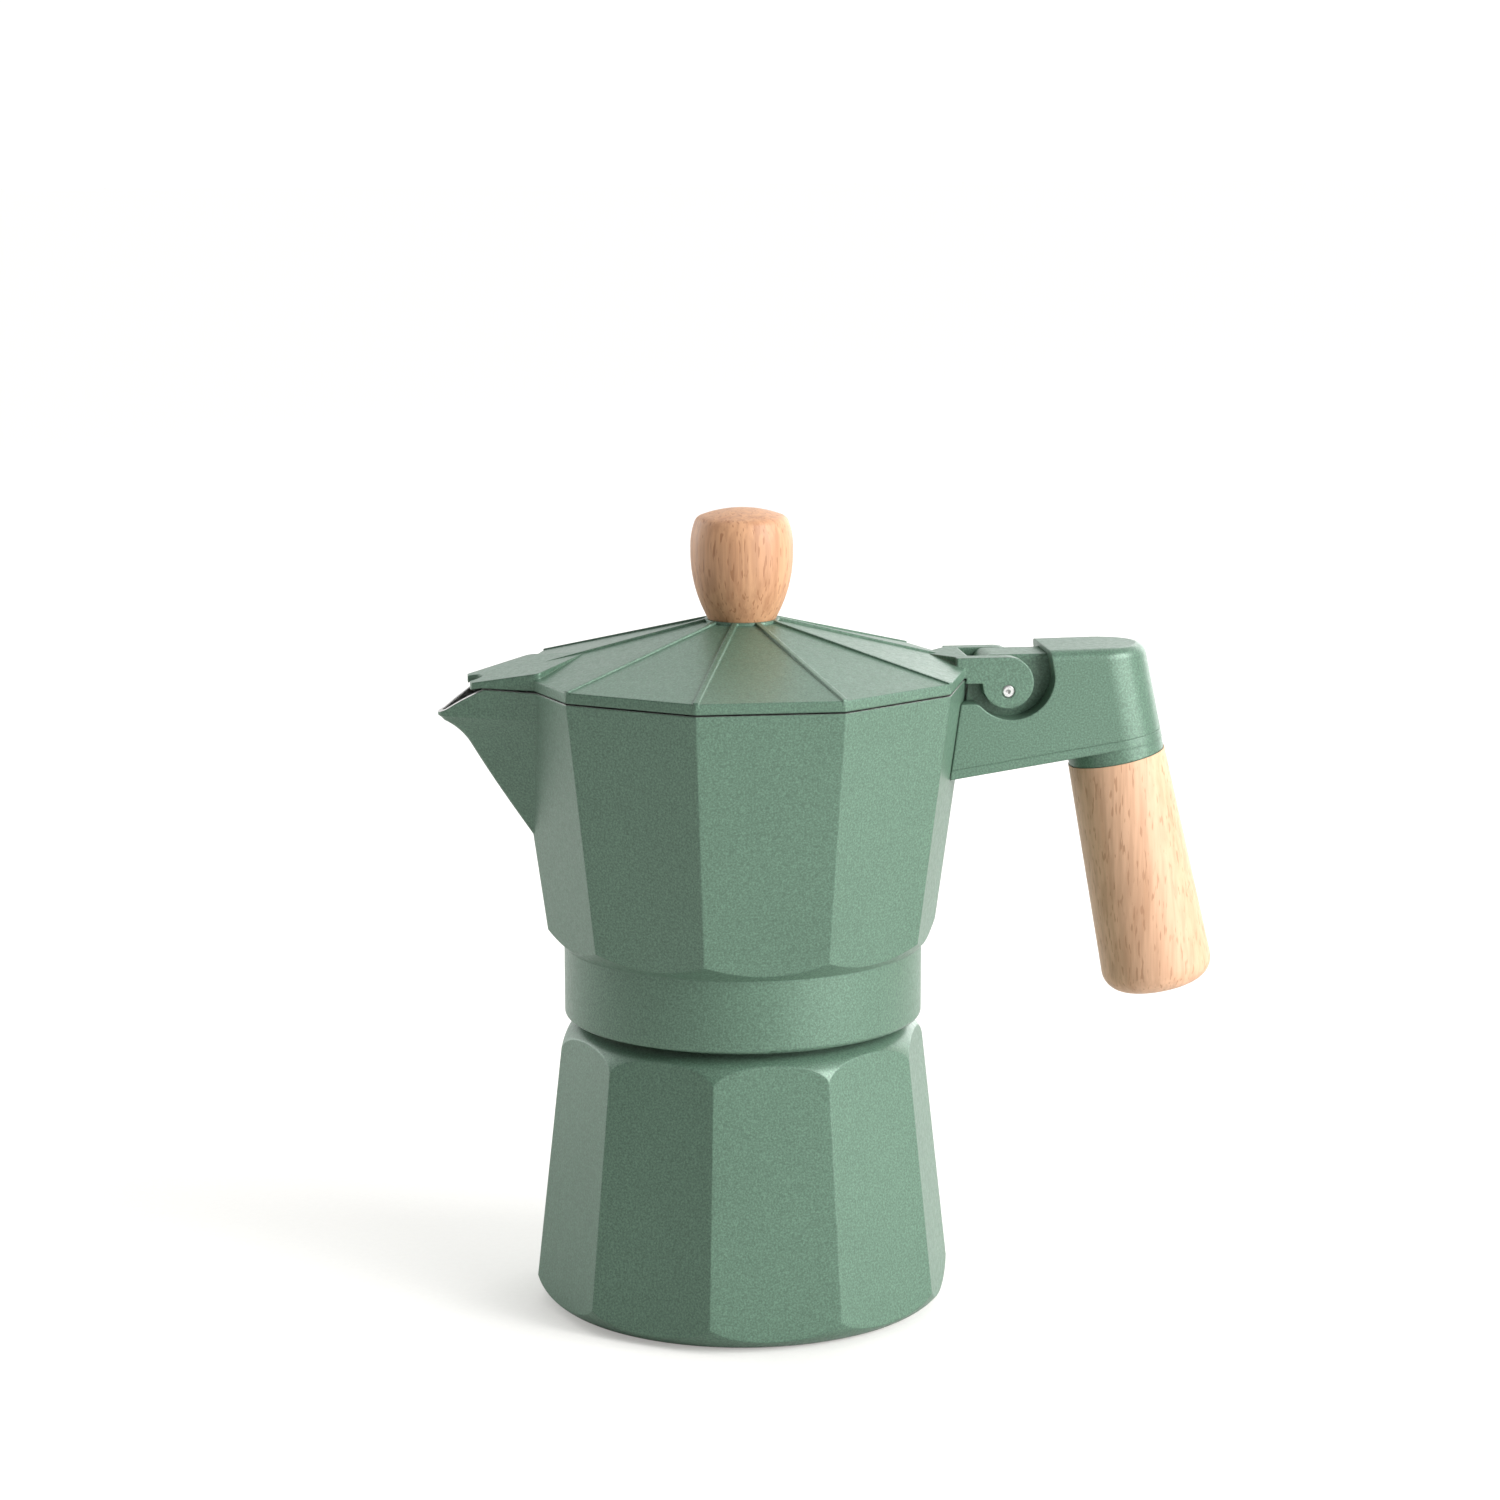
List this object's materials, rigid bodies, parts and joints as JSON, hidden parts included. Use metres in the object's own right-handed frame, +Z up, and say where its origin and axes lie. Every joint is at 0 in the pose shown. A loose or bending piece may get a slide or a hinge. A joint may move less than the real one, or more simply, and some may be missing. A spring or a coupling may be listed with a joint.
{
  "type": "moka pot",
  "caption": "Stovetop coffee maker: faceted boiler screwed to a faceted pouring chamber with a V spout, hinged lid with wooden knob, wooden grip on a bracket",
  "frame": {"origin": "on the boiler's axis, in the plane of its flat base", "axes": "+Z up along the pot's axis, +X towards the handle, -X towards the spout"},
  "size_m": [0.1604, 0.09, 0.1646],
  "materials": {
    "pot_paint": "satin sage green",
    "bare_aluminium": "satin",
    "seal_rubber": "matte",
    "knob_wood": "turned beech, lightly oiled",
    "grip_wood": "turned beech, lightly oiled",
    "valve_brass": "turned",
    "screw_steel": "plain"
  },
  "bodies": {
    "base": {"boiler": "pot_paint", "valve_body": "valve_brass", "valve_washer": "screw_steel", "valve_cap": "valve_brass", "valve_spring": "screw_steel"},
    "funnel": {"funnel_basket": "bare_aluminium", "funnel_stem": "bare_aluminium", "funnel_screen": "bare_aluminium"},
    "seal": {"gasket": "seal_rubber"},
    "filter": {"filter_plate": "bare_aluminium"},
    "collector": {"upper_chamber": "pot_paint", "handle_bracket": "pot_paint", "bracket_cover": "pot_paint", "bracket_screw": "screw_steel", "bracket_insert": "valve_brass", "handle_grip": "grip_wood", "grip_insert": "valve_brass", "grip_stud": "screw_steel", "hinge_pin": "bare_aluminium"},
    "cover": {"lid": "pot_paint", "lid_knob": "knob_wood", "knob_insert": "valve_brass", "knob_washer": "screw_steel", "knob_screw": "screw_steel"},
    "poppet": {"valve_poppet": "valve_brass"}
  },
  "joints": [
    {"name": "collector_lift_off", "type": "slide", "parent": "base", "child": "seal", "axis": [0, 0, 1], "range_m": [0, 0.13]},
    {"name": "collector_rise", "type": "slide", "parent": "seal", "child": "filter", "axis": [0, 0, 1], "range_m": [0, 0.0049]},
    {"name": "collector_unscrew", "type": "hinge", "parent": "filter", "child": "collector", "pos_m": [0, 0, 0.075], "axis": [0, 0, 1], "range_deg": [0, 720]},
    {"name": "lid_hinge", "type": "hinge", "parent": "collector", "child": "cover", "pos_m": [0.05347, 0, 0.12705], "axis": [0, 1, 0], "range_deg": [0, 95]},
    {"name": "funnel_lift_out", "type": "slide", "parent": "base", "child": "funnel", "axis": [0, 0, 1], "range_m": [0, 0.065]},
    {"name": "valve_poppet_slide", "type": "slide", "parent": "base", "child": "poppet", "axis": [-0.0332, 0.9995, 0], "range_m": [0, 0.0008], "stiffness_N_per_m": 2500, "springref_m": -0.001}
  ],
  "couplings": [
    {"joint": "collector_rise", "follows": "collector_unscrew", "m_per_rad": 0.00038197},
    {"joint": "funnel_lift_out", "follows": "collector_lift_off", "ratio": 0.5}
  ]
}
